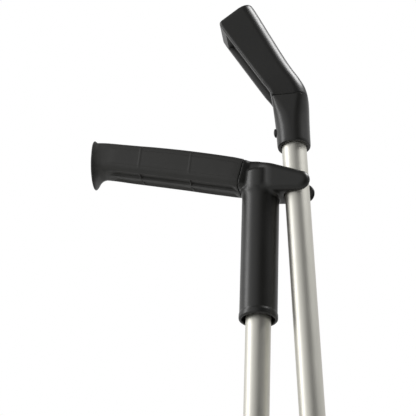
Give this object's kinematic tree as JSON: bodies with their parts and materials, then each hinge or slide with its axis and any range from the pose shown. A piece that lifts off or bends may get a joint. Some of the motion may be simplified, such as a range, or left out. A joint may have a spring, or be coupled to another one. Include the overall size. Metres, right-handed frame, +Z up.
{
  "type": "underarm crutches",
  "caption": "Pair of crutch poles joined at the handle: hand-grip pole with a side clip and a pole with an angled arm rest, both with telescoping legs.",
  "frame": {"origin": "centre of the hand-grip pole's rubber tip, on the floor", "axes": "+Z up along the hand-grip pole, -X along the hand grip's free end, +X towards the clip and the rest pole"},
  "size_m": [0.2501, 0.038, 1.0605],
  "materials": {
    "tube": "satin anodised, fine draw lines along the tube",
    "leg": "satin anodised",
    "handle": "black moulded plastic, satin",
    "grip": "black moulded plastic, finely textured",
    "socket": "black moulded plastic, satin",
    "rest": "black moulded plastic, satin",
    "collar": "black moulded plastic, fluted",
    "inner_plastic": "grey moulded plastic",
    "rest_button": "black moulded plastic",
    "button": "plated steel",
    "screw": "plated steel",
    "spring": "blued spring steel",
    "rubber": "matt black rubber"
  },
  "bodies": {
    "grip_pole": {"A_upper_tube": "tube", "A_handle": "handle", "A_grip_cover": "grip", "A_grip_end_cap": "handle", "A_handle_screw": "screw", "A_tube_plug": "inner_plastic", "A_collar_bush": "inner_plastic"},
    "grip_pole_collar": {"A_locking_collar": "collar"},
    "grip_pole_leg": {"A_leg_tube": "leg", "A_rubber_tip": "rubber", "A_tip_washer": "screw", "A_snap_spring": "spring"},
    "grip_pole_button": {"A_snap_button": "button", "A_snap_spring_arm": "spring"},
    "rest_pole_leg": {"B_leg_tube": "leg", "B_rubber_tip": "rubber", "B_tip_washer": "screw", "B_snap_spring": "spring"},
    "rest_pole": {"B_upper_tube": "tube", "B_rest_socket": "socket", "B_rest_pad": "rest", "B_rest_screw": "screw", "B_collar_bush": "inner_plastic"},
    "rest_pole_collar": {"B_locking_collar": "collar"},
    "rest_pole_button": {"B_snap_button": "button", "B_snap_spring_arm": "spring"},
    "rest_button": {"B_rest_button": "rest_button", "B_rest_button_leaf": "spring"}
  },
  "joints": [
    {"name": "grip_pole_leg_slide", "type": "slide", "parent": "grip_pole", "child": "grip_pole_leg", "axis": [0, 0, -1], "range_m": [-0.05, 0.1]},
    {"name": "grip_pole_button_press", "type": "slide", "parent": "grip_pole_leg", "child": "grip_pole_button", "axis": [-1, 0, 0], "range_m": [0, 0.0046], "stiffness_N_per_m": 700, "springref_m": -0.002},
    {"name": "grip_pole_collar_turn", "type": "hinge", "parent": "grip_pole", "child": "grip_pole_collar", "pos_m": [0, 0, 0.409], "axis": [0, 0, 1], "range_deg": [-120, 0]},
    {"name": "rest_pole_turn", "type": "hinge", "parent": "grip_pole", "child": "rest_pole_leg", "pos_m": [0.0293, 0, 0.8927], "axis": [-0.0698, 0, 0.9976], "continuous": true},
    {"name": "rest_pole_height", "type": "slide", "parent": "rest_pole_leg", "child": "rest_pole", "axis": [-0.0698, 0, 0.9976], "range_m": [0, 0.15]},
    {"name": "rest_pole_button_press", "type": "slide", "parent": "rest_pole_leg", "child": "rest_pole_button", "axis": [-0.9938, -0.0872, -0.0695], "range_m": [0, 0.0046], "stiffness_N_per_m": 700, "springref_m": -0.002},
    {"name": "rest_pole_collar_turn", "type": "hinge", "parent": "rest_pole", "child": "rest_pole_collar", "pos_m": [0.0631, 0, 0.40933], "axis": [-0.0698, 0, 0.9976], "range_deg": [-120, 0]},
    {"name": "rest_button_press", "type": "slide", "parent": "rest_pole", "child": "rest_button", "axis": [0.9938, 0.0872, 0.0695], "range_m": [0, 0.007], "stiffness_N_per_m": 700, "springref_m": -0.002}
  ]
}
